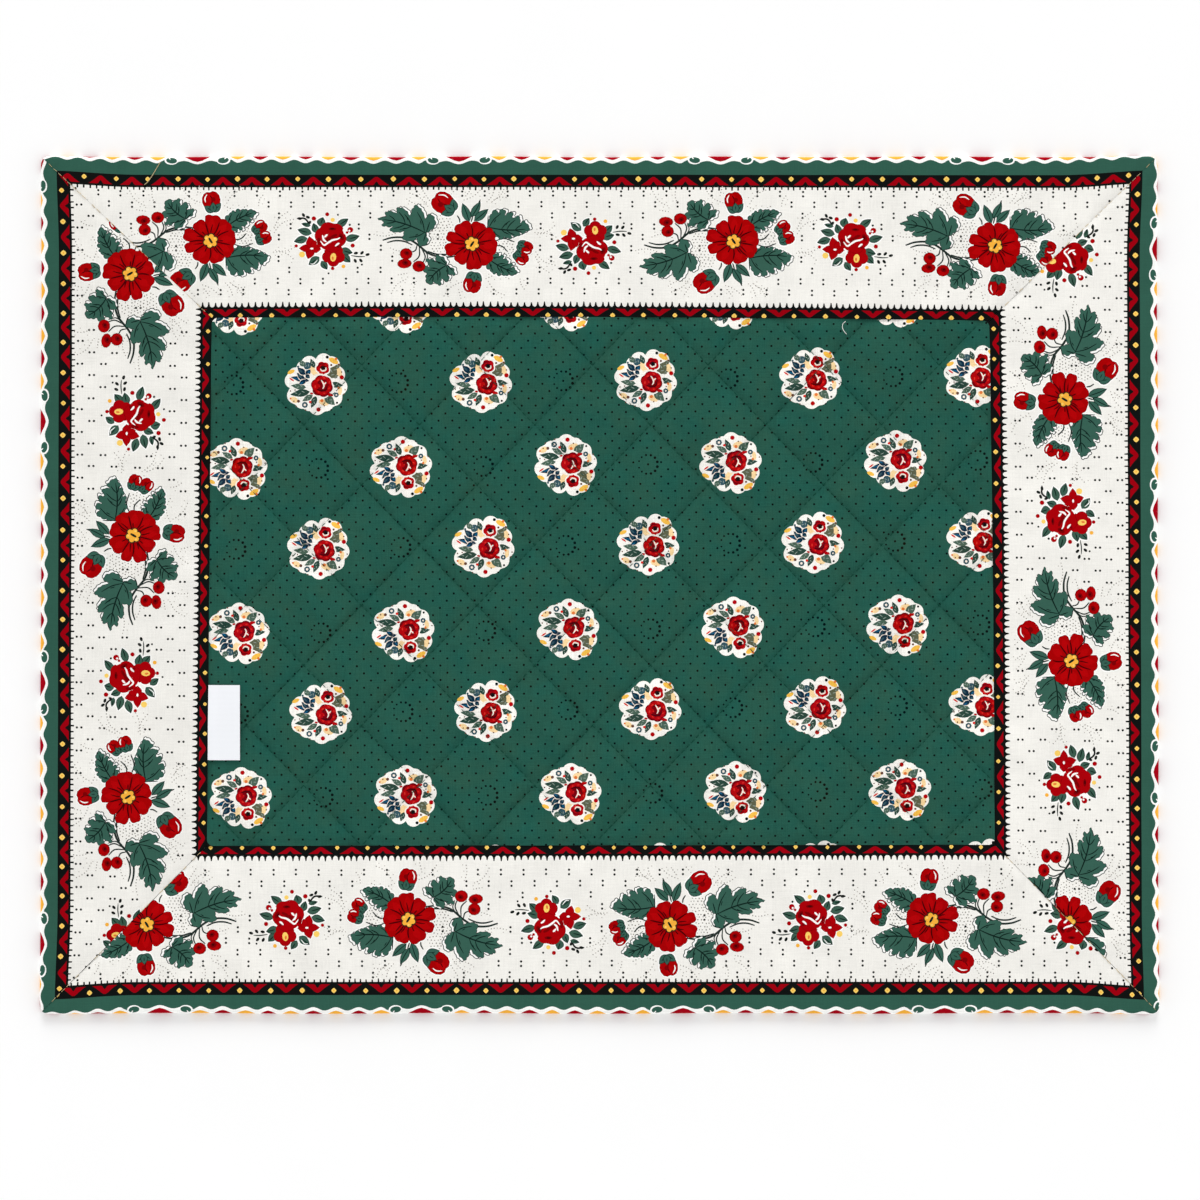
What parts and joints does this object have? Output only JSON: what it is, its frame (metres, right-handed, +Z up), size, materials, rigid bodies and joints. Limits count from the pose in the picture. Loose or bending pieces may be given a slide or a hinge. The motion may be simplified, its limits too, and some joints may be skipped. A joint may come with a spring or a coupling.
{
  "type": "quilted placemat",
  "caption": "Oblong quilted cotton placemat: a diamond-stitched centre with a small print, a mitred floral border and a bare sewn-in label tab.",
  "frame": {"origin": "middle of the mat's oblong, at the surface that it lies on", "axes": "+X along the long side to the right, +Y towards the far long side, +Z up from the surface"},
  "size_m": [0.4808, 0.3682, 0.0051],
  "materials": {
    "centre_cloth": "green printed cotton, diamond quilted, matt",
    "border_cloth": "cream printed cotton with green, black and red bands, matt",
    "label_cloth": "plain white label ribbon, slightly satin"
  },
  "bodies": {
    "root": {"centre_panel": "centre_cloth", "border_top": "border_cloth", "border_right": "border_cloth", "border_bottom": "border_cloth", "border_left": "border_cloth", "label_tab": "label_cloth"}
  },
  "joints": []
}
